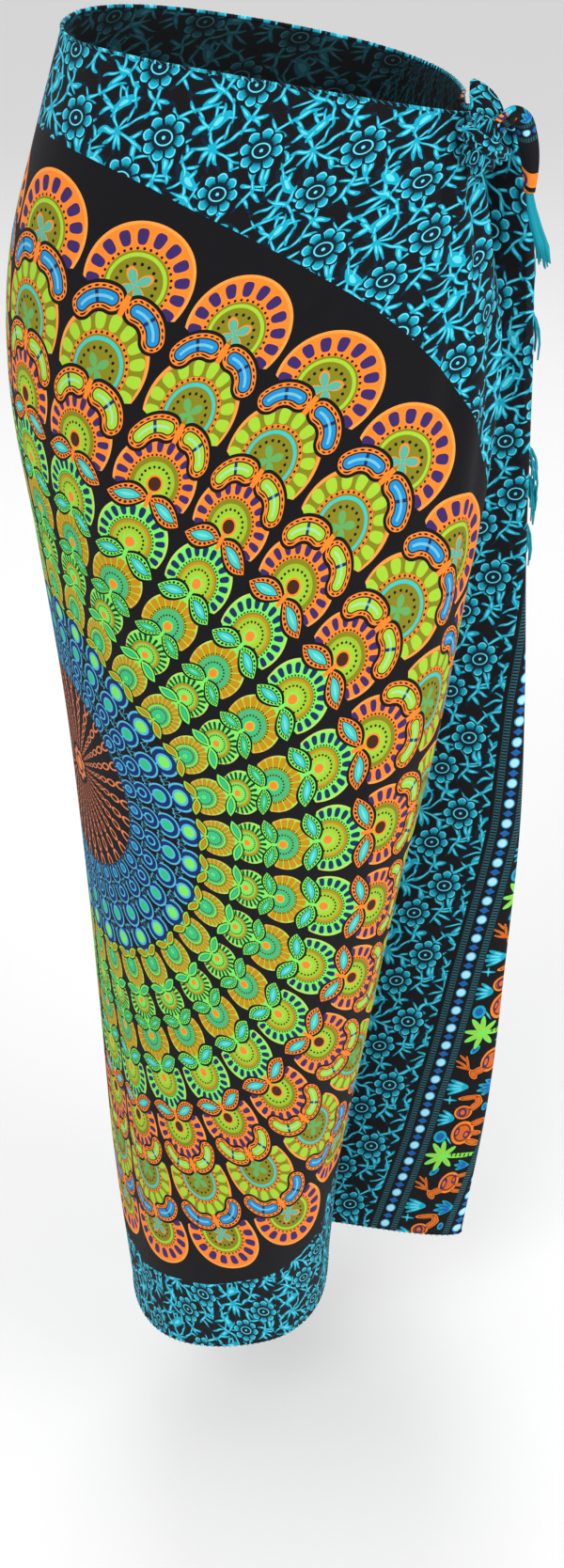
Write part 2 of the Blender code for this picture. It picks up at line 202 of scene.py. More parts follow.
def outward(points):
    """Unit normals that point out of the wrap, to the right of the way that the section runs."""
    ahead = np.gradient(points, axis=0)
    ahead /= np.linalg.norm(ahead, axis=1)[:, None]
    return np.stack([ahead[:, 1], -ahead[:, 0]], 1)


def smooth_step(value):
    value = np.clip(value, 0, 1)
    return value * value * (3 - 2 * value)


def section(drop, samples=1600):
    """Points of one level's section, their lengths along it from its start, and its landmarks."""
    size = level(drop)
    corners, marks = section_corners(size)
    rounded, index = cut_corners(corners)
    rough = lengths_along(rounded)
    at = {name: float(np.interp(place, index, rough)) for name, place in marks.items()}
    run = np.linspace(0, rough[-1], samples)
    points = line_at(run, rough, rounded)

    back = (at["hip"] - run) / at["hip"]
    reach = smooth_step((back - HANG_FROM) / HANG_FADE_IN) * smooth_step((HANG_TO - back) / HANG_FADE_OUT)
    push = size["hang"] * reach * np.sin(2 * math.pi * HANGING_FOLDS * (back - HANG_PHASE))
    from_roll = (at["roll"] - run) / (GATHER_PITCH + GATHER_SPREAD * drop)
    fan = smooth_step(from_roll + .4) * smooth_step((GATHERS - from_roll) / 1.5)
    depth = GATHER_DEPTH * smooth_step(drop / GATHER_BIRTH) * smooth_step((GATHER_END - drop) / GATHER_FADE)
    push += depth * fan * np.sin(2 * math.pi * from_roll)
    points = points + outward(points) * push[:, None]

    length = lengths_along(points)
    landmarks = {name: float(np.interp(place, run, length)) for name, place in at.items()}
    landmarks["start"], landmarks["end"] = 0.0, float(length[-1])
    return points, length, landmarks


def height(drop, x, y):
    waist = WAIST_MIDDLE_Z + WAIST_SLOPE * x + WAIST_CURL * y * y
    return waist + (HEM_Z - waist) * drop


print("round the waist and the hem:", [round(section(drop)[1][-1], 3) for drop in (0, 1)], "m")

# %% [markdown]
# The print has to stay where it was printed, however the cloth is folded. So each point of a section
# also knows its place on the flat cloth: across, in metres from the middle of the long side, and up,
# from the middle of the short one. Over the front the cloth lies smooth, and one place is one
# length. The spare cloth of the narrow waist is hidden in the knot and under the flap.

# %% Where the flat cloth lies
CLOTH_LONG, CLOTH_HIGH = 1.72, 1.00
HIP_ACROSS = 0.026        # from the plain hip to the middle of the print
BACK_ACROSS = -0.28       # behind this the back panel's cloth is gathered evenly
FOLD_DROPS = (0, .06, .14, .22, .32, .44, .56, .70, .84, 1)
FOLD_ACROSS = (.560, .575, .605, .630, .652, .668, .678, .698, .716, .727)


def across(drop, places, marks):
    """Where on the flat cloth these lengths of a section are, if it hung straight."""
    hip = marks["hip"]
    roll = marks["roll"] - hip - HIP_ACROSS
    fold = float(np.interp(drop, FOLD_DROPS, FOLD_ACROSS))
    valley = max(fold - (marks["edge"] - marks["valley"]), roll + .01)
    smooth_from = max(BACK_ACROSS + HIP_ACROSS, -hip * .75)
    lengths = [-hip, smooth_from, marks["roll"] - hip, marks["valley"] - hip, marks["edge"] - hip,
               marks["end"] - hip]
    flat = [-CLOTH_LONG / 2, BACK_ACROSS, roll, valley, fold, CLOTH_LONG / 2]
    return np.interp(places - hip, lengths, flat)


print("the flap's fold lies", FOLD_ACROSS[0], "to", FOLD_ACROSS[-1], "m across the cloth")

# %% [markdown]
# Cloth that is pulled up to a knot doesn't hang straight: its threads slide and slant. Two small
# tables say by how many millimetres the print has slid, across and up, at a few heights (rows, from
# the waist to the hem) and places (columns, from the hip to the flap).

# %% How the pull of the knot slants the cloth
SLID_AT_DROP = np.array((0, .12, .25, .38, .50, .62, .75, .88, 1))
SLID_AT_ACROSS = np.array((-.02, .05, .09, .14, .20, .27, .34, .42, .60, .67, .73))
SLID_ACROSS = np.array((
    (1, 1, 3, 8, 14, 16, 14, 10, 0, 0, 0), (-13, -6, -5, -3, 6, 9, 9, 9, 0, 0, 0),
    (-30, -18, -8, -11, -7, -1, 3, 9, 0, 0, 0), (-44, -37, -21, -17, -13, -6, 3, 12, 0, 0, 0),
    (-48, -42, -32, -22, -9, 1, 9, 19, 0, 0, 0), (-41, -30, -21, -6, 7, 12, 21, 28, -2, -2, -2),
    (-31, -16, 2, 19, 29, 33, 37, 41, -3, -3, -3), (-16, 5, 27, 43, 54, 55, 55, 55, -1, -1, -1),
    (1, 25, 47, 62, 72, 75, 73, 69, 6, 6, 6),
))
SLID_UP = np.array((
    (-21, -25, -26, -26, -36, -55, -80, -104, -78, -78, -78),
    (-22, -18, -16, -18, -31, -51, -68, -83, -59, -59, -59),
    (-26, -16, -10, -14, -28, -43, -53, -59, -39, -39, -39),
    (-32, -23, -11, -6, -9, -17, -25, -29, -19, -19, -19),
    (-35, -26, -14, 2, 13, 14, 10, 6, 0, 0, 0), (-32, -20, -7, 11, 30, 41, 43, 41, 19, 19, 19),
    (-24, -13, 2, 27, 51, 64, 70, 75, 39, 39, 39), (-10, 2, 13, 42, 68, 83, 95, 105, 59, 59, 59),
    (4, 20, 35, 57, 79, 99, 117, 134, 78, 78, 78),
))


def flat_places(drop, places, marks):
    """The places on the flat cloth of these lengths of a section."""
    straight = across(drop, places, marks)
    slid = [smooth_through(SLID_AT_ACROSS, smooth_through(SLID_AT_DROP, table, drop), straight) / 1000
            for table in (SLID_ACROSS, SLID_UP)]
    return np.stack([straight + slid[0], .5 - drop + slid[1]], 1)


print("most that the print slides:", np.abs(SLID_ACROSS).max(), "and", np.abs(SLID_UP).max(), "mm")

# %% [markdown]
# Folds are pressed in one by one. Each is a soft trough with a low ridge on both sides, along a line
# on the cloth. Those at the knot are short and deep, and fan out from it. Those over the panels are
# wide and shallow, as the cloth hangs from the hip and the thigh.

# %% The folds
# Across and drop where a fold starts, the same where it ends, half width and depth, in thousandths
FOLDS = np.array((
    (262, 4, 246, 54, 5, 2.4), (267, 8, 262, 82, 6, 2.6), (274, 14, 296, 120, 7, 2.8),
    (283, 20, 327, 172, 8, 2.8), (316, 24, 358, 214, 8, 2), (420, 30, 380, 184, 8, 1.8),
    (252, 4, 222, 36, 5, 1.6), (245, 0, 196, 18, 6, 1.2), (240, 10, 205, 70, 7, 1.2),
    (470, 20, 455, 230, 8, 2), (155, 74, 208, 74, 6, 1.5), (222, 112, 204, 140, 6, 1.4),
    (250, 100, 120, 400, 30, 2.2), (290, 200, 205, 620, 26, 2.6), (60, 120, 90, 460, 28, 1.8),
    (150, 720, 135, 1020, 22, 3), (235, 660, 250, 1020, 22, 2.8), (60, 620, 40, 1020, 24, 2.4),
    (505, 60, 575, 950, 17, 2.8), (560, 180, 610, 1020, 13, 2.2), (455, 300, 500, 1020, 15, 2.4),
    (640, 300, 655, 1020, 10, 1.4), (-120, 100, -160, 900, 35, 2.6), (-45, 50, -60, 500, 26, 1.6),
)) / 1000


def folds(drop, straight):
    """How far the folds push the cloth out at these places."""
    push = np.zeros_like(straight)
    for x0, y0, x1, y1, half, depth in FOLDS:
        run, fall = x1 - x0, y1 - y0
        long = math.hypot(run, fall)
        from_x, from_y = straight - x0, drop - y0
        along = (from_x * run + from_y * fall) / long**2
        off = (from_x * fall - from_y * run) / long / half
        fade = smooth_step(along / .18) * smooth_step((1 - along) / .4)
        push -= depth * (1 - off * off) * np.exp(-.9 * off * off) * fade
    return push


print("folds:", len(FOLDS))

# %% [markdown]
# A plain grid is added at the size of the cut cloth, and each of its points is then carried onto
# the wrap. Columns crowd where the cloth turns sharply, because a small fold needs more points than
# a flat panel does.

# %% The sheet
CLOTH_THICK = 0.0009
ROWS = 140
STRETCHES = (("start", "side", 22), ("side", "hip", 104), ("hip", "roll", 84), ("roll", "valley", 22),
             ("valley", "edge", 34), ("edge", "end", 34))
TURN_WEIGHT = 0.012


def crowded(points, length, start, end, columns):
    ahead = np.gradient(points, length, axis=0)
    heading = np.unwrap(np.arctan2(ahead[:, 1], ahead[:, 0]))
    effort = length + TURN_WEIGHT * np.concatenate([[0], np.cumsum(np.abs(np.diff(heading)))])
    first, last = np.interp([start, end], length, effort)
    return np.interp(np.linspace(first, last, columns + 1), effort, length)


def sheet_rows(drops):
    """For each drop: places in space, places on the flat cloth, and the way out of the wrap."""
    spots, flats, outs = [], [], []
    for drop in drops:
        points, length, marks = section(drop)
        places = np.zeros(1)
        for start, end, columns in STRETCHES:
            places = np.append(places, crowded(points, length, marks[start], marks[end], columns)[1:])
        out = line_at(places, length, outward(points))
        push = folds(drop, across(drop, places, marks))
        x, y = (line_at(places, length, points) + out * push[:, None]).T
        spots.append(np.stack([x, y, height(drop, x, y)], 1))
        flats.append(flat_places(drop, places, marks))
        outs.append(np.concatenate([out, np.zeros((len(places), 1))], 1))
    return np.array(spots), np.array(flats), np.array(outs)


def nothing_selected():
    if bpy.context.mode != "OBJECT":
        bpy.ops.object.mode_set(mode="OBJECT")
    bpy.ops.object.select_all(action="DESELECT")


drops = np.linspace(0, 1, ROWS + 1)
spots, flats, outs = sheet_rows(drops)
columns = spots.shape[1] - 1
nothing_selected()
bpy.ops.mesh.primitive_grid_add(x_subdivisions=columns, y_subdivisions=ROWS, size=1)
sarong = bpy.context.object
sarong.name = "sarong_cloth"
flat_grid = np.empty(len(sarong.data.vertices) * 3)
sarong.data.vertices.foreach_get("co", flat_grid)
flat_grid = flat_grid.reshape(-1, 3)
column_of = np.rint((flat_grid[:, 0] + .5) * columns).astype(int)
row_of = np.rint((.5 - flat_grid[:, 1]) * ROWS).astype(int)
sarong.data.vertices.foreach_set("co", spots[row_of, column_of].ravel())
corner_vertex = np.empty(len(sarong.data.loops), dtype=np.int32)
sarong.data.loops.foreach_get("vertex_index", corner_vertex)
cut = sarong.data.uv_layers.active
cut.name = "cut"
cut.data.foreach_set("uv", flats[row_of[corner_vertex], column_of[corner_vertex]].ravel())
sarong.data.update()
bpy.ops.object.shade_smooth()
print("sheet:", columns, "by", ROWS)

# %% [markdown]
# The print is worked out, not painted: every colour is a sum of where a point lies on the flat
# cloth. Field lets such sums be written as ordinary ones, each of them adding one Math node.

# %% Sums over the cloth
class Field:
    """A value that varies over the cloth."""

    def __init__(self, socket):
        self.socket = socket

    __add__ = __radd__ = lambda self, other: maths("ADD", self, other)
    __mul__ = __rmul__ = lambda self, other: maths("MULTIPLY", self, other)
    __sub__ = lambda self, other: maths("SUBTRACT", self, other)
    __rsub__ = lambda self, other: maths("SUBTRACT", other, self)
    __truediv__ = lambda self, other: maths("DIVIDE", self, other)
    __lt__ = lambda self, other: maths("LESS_THAN", self, other)
    __gt__ = lambda self, other: maths("GREATER_THAN", self, other)
    __abs__ = lambda self: maths("ABSOLUTE", self)


def join(value, socket):
    if isinstance(value, Field):
        socket.id_data.links.new(value.socket, socket)
    else:
        socket.default_value = value


def node_for(kind, *values, **settings):
    """A new node with these settings, its first inputs joined to the values."""
    tree = next(value.socket.id_data for value in values if isinstance(value, Field))
    node = tree.nodes.new(kind)
    for name, setting in settings.items():
        setattr(node, name, setting)
    for value, socket in zip(values, node.inputs):
        join(value, socket)
    return node


def maths(operation, *values):
    return Field(node_for("ShaderNodeMath", *values, operation=operation).outputs[0])


def vectors(operation, *values):
    node = node_for("ShaderNodeVectorMath", *values, operation=operation)
    return Field(node.outputs["Value" if operation == "LENGTH" else "Vector"])


def parts_of(place):
    return [Field(output) for output in node_for("ShaderNodeSeparateXYZ", place).outputs]


def point_at(x, y):
    return Field(node_for("ShaderNodeCombineXYZ", x, y).outputs[0])


def length_of(x, y):
    return vectors("LENGTH", point_at(x, y))


def between(value, low, high):
    return (value > low) * (value < high)


def either(first, second):
    return maths("MAXIMUM", first, second)


def from_half(value):
    """The fraction of a value, counted from a half."""
    return maths("FRACT", value) - .5


def within_repeat(value, pitch):
    """The distance to the middle of the nearest repeat, from minus half a pitch to half a pitch."""
    return from_half(value / pitch + .5) * pitch


def ramp_up(value, low, high):
    return Field(node_for("ShaderNodeMapRange", value, low, high).outputs[0])


def linear(red, green, blue):
    """A colour as a screen gives it, from 0 to 255, as the amounts of light that Blender uses."""
    return tuple((c / 255 / 12.92) if c < 11 else ((c / 255 + .055) / 1.055) ** 2.4
                 for c in (red, green, blue)) + (1.0,)


def lay(under, over, mask):
    """The colour over, laid on the colour under where mask is 1."""
    node = node_for("ShaderNodeMix", mask, data_type="RGBA")
    for given, socket in zip((under, over), node.inputs[6:8]):
        join(given, socket)
    return Field(node.outputs[2])


def coats(under, distance, *paints):
    """Colours laid on one another, each where the distance is under its own edge."""
    for paint, edge in paints:
        under = lay(under, paint, distance < edge)
    return under


def chosen(number, choices):
    """The choice for a whole number from 0 up, from a table of colours."""
    count = len(choices)
    node = node_for("ShaderNodeValToRGB", number)
    node.color_ramp.interpolation = "CONSTANT"
    join((number + .5) / count, node.inputs[0])
    stops = node.color_ramp.elements
    for place, choice in enumerate(choices):
        stop = stops[place] if place < 2 else stops.new(place / count)
        stop.position = place / count
        stop.color = choice
    return Field(node.outputs[0])


def pattern(name):
    """A new node group that turns a place on the flat cloth into a colour."""
    tree = bpy.data.node_groups.new(name, "ShaderNodeTree")
    tree.interface.new_socket("Place", in_out="INPUT", socket_type="NodeSocketVector")
    tree.interface.new_socket("Colour", in_out="OUTPUT", socket_type="NodeSocketColor")
    return tree, Field(tree.nodes.new("NodeGroupInput").outputs[0])


def give_out(tree, colour):
    join(colour, tree.nodes.new("NodeGroupOutput").inputs[0])


def use(tree, place):
    return Field(node_for("ShaderNodeGroup", place, node_tree=tree).outputs[0])


BLACK = linear(13, 12, 17)

# %% [markdown]
# The wheel in the middle is a common one on such cloths: rings of peacock feathers on 32 rays, larger
# with each ring. Each feather is the same drawing, a fan with slots along its rim, arches inside and a
# pair of leaves at its foot, so it is drawn once, in its own small frame. The table gives each ring
# its radius and colours, as a block printer's sample card would.

# %% The wheel's rings
WHEEL_MIDDLE = (0, 0, 0)  # on the flat cloth, in metres
RAYS = 32
ORANGE, LIME, GREEN = linear(248, 132, 38), linear(160, 206, 52), linear(120, 226, 92)
OLIVE, AMBER, TEAL = linear(132, 128, 22), linear(190, 136, 14), linear(44, 188, 126)
NAVY, PURPLE, BLUE = linear(14, 44, 92), linear(58, 38, 100), linear(26, 138, 204)
SKY, DEEP, AQUA = linear(80, 176, 214), linear(8, 44, 100), linear(58, 196, 190)
PALE_CORE = linear(150, 226, 214)
EMBER, BROWN, SEA = linear(226, 128, 82), linear(66, 34, 22), linear(34, 120, 170)

# Ring: foot, height, then the colours of rim, bed, slots, arch, inside, heart, leaf rim and leaf
RINGS = (
    (.0699, .0126, SKY, DEEP, DEEP, SKY, SEA, SEA, SKY, BLACK),
    (.0825, .0140, SKY, DEEP, DEEP, SKY, SEA, DEEP, SKY, BLACK),
    (.0965, .0170, SKY, DEEP, DEEP, SKY, TEAL, TEAL, SKY, BLACK),
    (.1135, .0185, SKY, DEEP, DEEP, SKY, TEAL, GREEN, SKY, BLACK),
    (.1320, .0279, GREEN, GREEN, AMBER, GREEN, TEAL, TEAL, LIME, AMBER),
    (.1599, .0261, GREEN, GREEN, linear(10, 60, 40), AMBER, GREEN, ORANGE, GREEN, TEAL),
    (.1860, .0328, GREEN, LIME, AMBER, TEAL, TEAL, ORANGE, GREEN, TEAL),
    (.2188, .0399, GREEN, GREEN, NAVY, AMBER, LIME, ORANGE, GREEN, AQUA),
    (.2587, .0452, ORANGE, ORANGE, PURPLE, OLIVE, LIME, BROWN, ORANGE, AQUA),
    (.3039, .0542, ORANGE, OLIVE, LIME, AQUA, OLIVE, linear(96, 168, 92), ORANGE, LIME),
    (.3581, .0510, ORANGE, ORANGE, PURPLE, LIME, OLIVE, linear(84, 176, 150), ORANGE, BLUE),
)
WHEEL_EDGE = .4225
# Ring, in threes: slots all round, the share of its pitch that a slot fills, and 1 if there are dots;
# the leaf's middle, half its width, and 1 if it is a bean; 1 if the heart is a flower, 1 if the leaf
# has dots, and the heart's size; the fan's radius, and the middle and half height of its slots
SHAPES = (
    ((24, 1.6, 0), (.60, .15, 0), (0, 0, .05), (.58, .36, .10)),
    ((24, 1.6, 0), (.60, .15, 0), (0, 0, .06), (.59, .36, .10)),
    ((24, 1.6, 0), (.60, .16, 0), (0, 0, .12), (.60, .40, .10)),
    ((24, 1.6, 0), (.60, .16, 0), (0, 0, .14), (.60, .41, .11)),
    ((26, .88, 1), (.33, .13, 0), (0, 0, .03), (.62, .50, .13)),
    ((24, .52, 1), (.33, .15, 0), (0, 0, .09), (.60, .49, .10)),
    ((22, .86, 1), (.33, .16, 0), (0, 1, .09), (.63, .51, .13)),
    ((21.6, .62, 1), (.33, .17, 0), (0, 1, .09), (.655, .53, .088)),
    ((20, .58, 1), (.33, .17, 0), (0, 1, .10), (.655, .53, .088)),
    ((17, .70, 1), (.385, .135, 1), (1, 1, .19), (.66, .53, .095)),
    ((17, .62, 1), (.39, .145, 1), (1, 1, .19), (.665, .53, .088)),
)


def three_of(ring, rows, times):
    node = node_for("ShaderNodeSeparateXYZ", chosen(ring, rows))
    return [Field(output) * times for output in node.outputs]


def number_of(ring, group):
    """Three of a ring's numbers. A colour ramp holds each as a hundredth."""
    return three_of(ring, [tuple(n / 100 for n in row[group]) + (1,) for row in SHAPES], 100)


def ring_colour(ring, entry):
    return chosen(ring, [row[entry] for row in RINGS])


wheel, place = pattern("wheel")
place = vectors("SUBTRACT", place, WHEEL_MIDDLE)
east, north, _ = parts_of(place)
radius = vectors("LENGTH", place)
turn = maths("ARCTAN2", north, east)
aside = abs(from_half(turn * (RAYS / math.tau))) * 1.42

# The ring that a radius falls in, and how far out in it
count = None
for row in RINGS:
    step = ramp_up(radius, row[0], row[0] + row[1])
    count = step if count is None else count + step
ring = maths("MINIMUM", maths("FLOOR", count), len(RINGS) - 1)
rise = count - ring
print("wheel:", len(RINGS), "rings of", RAYS)

# %% [markdown]
# In the feather's own frame its foot is at 0, 0, its tip is at 0, 1, and aside grows to either side.
# The fan is a disc, and all its bands are circles about the heart.

# %% A feather
HEART_UP = .30
DOTS_OUT, INNER_DOTS_OUT = .405, .235
ARCH_FROM, ARCH_TO, ARCH_LINE = .315, .375, .372
EDGE_LIGHT = linear(255, 190, 96)

slots_round, slot_share, dotted = number_of(ring, 0)
flowered, _, heart_size = number_of(ring, 2)
fan_radius, slot_middle, slot_half = number_of(ring, 3)
rim = length_of(aside, rise - 1 + fan_radius) / fan_radius
out = length_of(aside, rise - HEART_UP)
swing = maths("ARCTAN2", aside, rise - HEART_UP)
slot_pitch = maths("DIVIDE", math.tau, slots_round)
off_slot = abs(from_half(swing / slot_pitch + .5) * 2) / slot_share
slot = (maths("POWER", off_slot, 3) + maths("POWER", abs(out - slot_middle) / slot_half, 3)) < 1
bead = from_half(swing / slot_pitch * 2) * slot_pitch * .5
dots = length_of(bead * .41, out - DOTS_OUT) < .017
inner_bead = from_half(swing / slot_pitch) * slot_pitch
inner_dots = length_of(inner_bead * .24, out - INNER_DOTS_OUT) < .020

# A fan with dots: rim, bed, slots, arch, inside and heart, each laid on the one before
colour = lay(ring_colour(ring, 2), ring_colour(ring, 3), out < slot_middle + slot_half)
colour = lay(colour, ring_colour(ring, 4), slot)
colour = lay(colour, ring_colour(ring, 2), out < slot_middle - slot_half - .005)
colour = lay(colour, BLACK, dots)
inside = lay(ring_colour(ring, 6), OLIVE, ramp_up(out, .12, .30) * .35)
colour = lay(colour, ring_colour(ring, 5), out < ARCH_TO)
colour = lay(colour, OLIVE, abs(out - ARCH_LINE) < .013)
colour = lay(colour, inside, out < ARCH_FROM)
colour = lay(colour, BLACK, inner_dots)
petal = abs(maths("SINE", swing * 2))
heart_edge = heart_size * (1 - flowered + flowered * petal)
colour = lay(colour, ring_colour(ring, 3), between(out, heart_edge, heart_edge + .030))
colour = lay(colour, ring_colour(ring, 7), out < heart_edge)
colour = lay(colour, EDGE_LIGHT, (rim > .945) * .35)

# The small fans near the middle are plain scales, one inside another
scale = lay(ring_colour(ring, 2), ring_colour(ring, 4), rim < .86)
scale = lay(scale, ring_colour(ring, 5), rim < (heart_size + .42))
scale = lay(scale, ring_colour(ring, 7), rim < (heart_size + .26))
colour = lay(scale, colour, dotted)
feather = lay(BLACK, colour, (rim < 1) * ((rise - aside * .36) > -.10))

# %% [markdown]
# A leaf pair belongs to the feather above it but hangs down beside the tip of the one below, so its
# ring is counted from a little further in. In the two largest rings the leaves are beans: arcs of
# even width with round ends, the outer end the lower.

# %% A feather's leaves
LEAF_START = .44
BEAN_AT, BEAN_HALF = .375, .140
BEAN_TILT, BEAN_RADIUS, BEAN_TURN = .58, .34, .64

leaf_ring = maths("MINIMUM", maths("FLOOR", count + LEAF_START), len(RINGS) - 1)
foot, tall, _ = three_of(leaf_ring, [(*row[:2], 0, 1) for row in RINGS], 1)
leaf_rise = (radius - foot) / tall
leaf_at, leaf_half, bean = number_of(leaf_ring, 1)
_, leaf_dotted, _ = number_of(leaf_ring, 2)
small = leaf_at > .5
beside = aside - leaf_at
along = beside / (.31 - small * .21)
up = (leaf_rise + beside * (.27 - small * .17) + along * along * small * .17 - small * .05) / leaf_half
pointed = abs(up) * 1.05 + along * along
rounded = up * up + maths("POWER", abs(along), 2.7)
leaf = pointed + (rounded - pointed) * small

beside = aside - BEAN_AT
bean_x = beside * math.cos(BEAN_TILT) - leaf_rise * math.sin(BEAN_TILT)
bean_y = beside * math.sin(BEAN_TILT) + leaf_rise * math.cos(BEAN_TILT) + BEAN_RADIUS
bean_turn = maths("MAXIMUM", maths("ARCTAN2", bean_x, bean_y), -BEAN_TURN)
bean_turn = maths("MINIMUM", bean_turn, BEAN_TURN)
off_x = bean_x - maths("SINE", bean_turn) * BEAN_RADIUS
off_y = bean_y - maths("COSINE", bean_turn) * BEAN_RADIUS
off = length_of(off_x, off_y) / BEAN_HALF
leaf = leaf + (off * off - leaf) * bean
along = along + (bean_x / .31 - along) * bean
up = up + ((bean_y - BEAN_RADIUS + .03) / .17 - up) * bean
rim_bead = from_half(maths("ARCTAN2", up, along) * (17 / math.tau)) * 2
rim_dot = length_of(rim_bead, (leaf - .76 + bean * .10) * 4.4) < .62

leaf_colour = lay(ring_colour(leaf_ring, 8), BLACK, rim_dot * leaf_dotted)
leaf_colour = lay(leaf_colour, BLACK, leaf < (bean * -.18 + .56))
leaf_colour = lay(leaf_colour, ring_colour(leaf_ring, 9), leaf < (bean * -.21 + .46))
leaf_colour = lay(leaf_colour, DEEP, (abs(along + .05) < .07) * (leaf < .30) * bean)
leaf_colour = lay(leaf_colour, PALE_CORE, (leaf < (bean * -.125 + .14)) * leaf_dotted * .5)
feather = lay(feather, BLACK, (leaf < (bean * .4 + 1.3)) * (1 - small))
feather = lay(feather, leaf_colour, leaf < 1)
feather = lay(feather, BLACK, small * (leaf < .5))
stem = (aside < .035) * between(leaf_rise, -.06, .17)
feather = lay(feather, ring_colour(leaf_ring, 8), stem)

# %% [markdown]
# Inside the feathers, chains of small beads run out from a rosette.

# %% The wheel's middle
bead_aside = aside / .34
bead_turn = from_half(maths("LOGARITHM", radius, 2.718) / .20) * 2
oval = length_of(bead_aside, bead_turn / .95)
core = lay(BLACK, linear(150, 72, 44), abs(bead_aside) < .13)
core = coats(core, oval, (BLACK, 1.12), (EMBER, 1), (BROWN, .64), (BLACK, .40))
core = lay(core, BLACK, radius < .0145)
core = lay(core, EMBER, radius < (abs(maths("SINE", turn * 4)) * .0030 + .0088))
core = lay(core, BROWN, between(radius, .0052, .0074))
core = lay(core, ORANGE, radius < .0038)
give_out(wheel, lay(feather, core, radius < RINGS[0][0] - .001))
print("wheel nodes:", len(wheel.nodes))

# %% [markdown]
# Around the wheel lies a field of small flowers on a vine. It repeats every 59 by 60 mm, so one
# repeat is charted, in millimetres from a flower, as brush strokes. Each stroke is a slim oval: a
# Mapping node moves the cloth under it until the oval is a unit circle.

# %% The flower field
REPEAT_LONG, REPEAT_HIGH = 59, 60
FLOWER_AT, SECOND_FLOWER_AT = (158, 437), (141, 412)
PETALS = 8
MILLIMETRES = (1000, 1000, 0)
CYAN, PALE, HALO = linear(14, 166, 194), linear(96, 214, 232), linear(5, 30, 46)

# Strokes of the vine: from x, y to x, y, half width
VINE = (
    (-29, 0, -21, 4, .8), (-22, 3, -14, 11, .8), (-15, 9, -12, 19, .8), (-12.5, 17, -11.5, 25, .7),
    (-12.6, 24, -11.6, 26, 1.8), (-13, 17, -19.5, 22, 1.0), (-12.5, 17, -5, 18, 1.3),
    (-12, 17, -8, 13.5, .9), (-15, 10, -9, 10.5, .8), (-29, 0, -34, 8, .8), (-34, 6, -33.5, 12, .8),
    (-29, 1, -24, 8, .7),
    (-24, 6, -23.5, 13, .8), (-34, 10.5, -28, 17, 3.0), (-33, 15, -35, 22, .7), (-35, 21, -31, 21, .7),
    (-29.5, 16, -31, 22, .7), (-34, 9, -42, 13, 1.0), (-36, 11, -42, 6, 1.1), (-28, 16, -22, 17, .7),
    (-23, 15, -27, 25, .9), (-26, 23, -34, 30, .9), (-33, 29, -43, 33, .8), (-35, 29, -42, 21, 1.5),
    (-33, 29, -30, 39, .8), (-31, 32, -25, 32, .8), (-28, 26, -22.5, 27, .8), (-38, 30, -48, 25, .8),
    (2.5, 10, 13, 18, .9), (12, 17, 24, 23, .9), (4, 12, 1, 16, .8), (5, 11, 10.5, 9.5, .8),
    (12, 16, 9, 20, .7), (14, 17, 19, 13, .9), (-29, 0, -10, -8, .8), (-20, -3, -13, 0, .8),
    (-17, -5, -13.5, -12, 1.3), (-10, -8, -3, -7, .8), (-13, -12, -4, -9, .8), (-29, 0, -27.5, -9.5, 1.3),
    (-28, -1, -23.5, -9.5, 1.0), (-30, -1, -34, -8, 1.1), (-29, 0, -39, -3, 1.2), (-38, -3, -43, -10, .9),
    (-41, -6, -44, -2, 1.0), (-43, -9, -39, -20, .8), (-41, -14, -35, -11, .8), (-40, -17, -32, -23, 2.7),
    (-37, -19, -35, -14, 1.2), (-39, -19, -46, -24, .8), (-38, -20, -37, -32, .8),
    (-38, -28, -32, -32, 1.0),
    (-4, -11, 2, -17, .8), (1.7, -15, 2.4, -24, .8), (2, -20, 10, -19, .8), (2, -22, 9, -22, .8),
    (9, -18, 10, -22, .8), (2, -20, -4, -20.5, .9), (2.4, -22, -3, -31, .9), (2, -25, 8, -27.5, 1.0),
    (-1, -28, 4, -33, 1.0), (5, -10, 7.5, -17, 1.3), (9, -9, 9, -17, 1.0), (11, -1, 15, 2, .7),
)


def repeat_about(place, middle):
    x, y, _ = parts_of(place)
    return point_at(within_repeat(x - middle[0], REPEAT_LONG), within_repeat(y - middle[1], REPEAT_HIGH))


def nearest_stroke(place, strokes, middle=(0, 0)):
    """How far out of the nearest stroke a place is: under 1 is inside it."""
    nearest = None
    for x0, y0, x1, y1, half in strokes:
        centre = ((x0 + x1) / 2 - middle[0], (y0 + y1) / 2 - middle[1], 0)
        lies = (0, 0, math.atan2(y1 - y0, x1 - x0))
        size = (math.dist((x0, y0), (x1, y1)) * .56 + half * .6, half, 1)
        node = node_for("ShaderNodeMapping", place, centre, lies, size, vector_type="TEXTURE")
        distance = vectors("LENGTH", Field(node.outputs[0]))
        nearest = distance if nearest is None else maths("MINIMUM", nearest, distance)
    return nearest


def nearest_of_repeats(place, strokes):
    """The same for strokes that repeat, in four groups, each of them smaller than one repeat."""
    groups = {}
    for stroke in strokes:
        groups.setdefault((stroke[0] + stroke[2] > -30, stroke[1] + stroke[3] > 2), []).append(stroke)
    nearest = None
    for group in groups.values():
        middle = [(max(s[i] for s in group) + min(s[i] for s in group)) / 2 for i in range(2)]
        near = nearest_stroke(repeat_about(place, middle), group, middle)
        nearest = near if nearest is None else maths("MINIMUM", nearest, near)
    return nearest


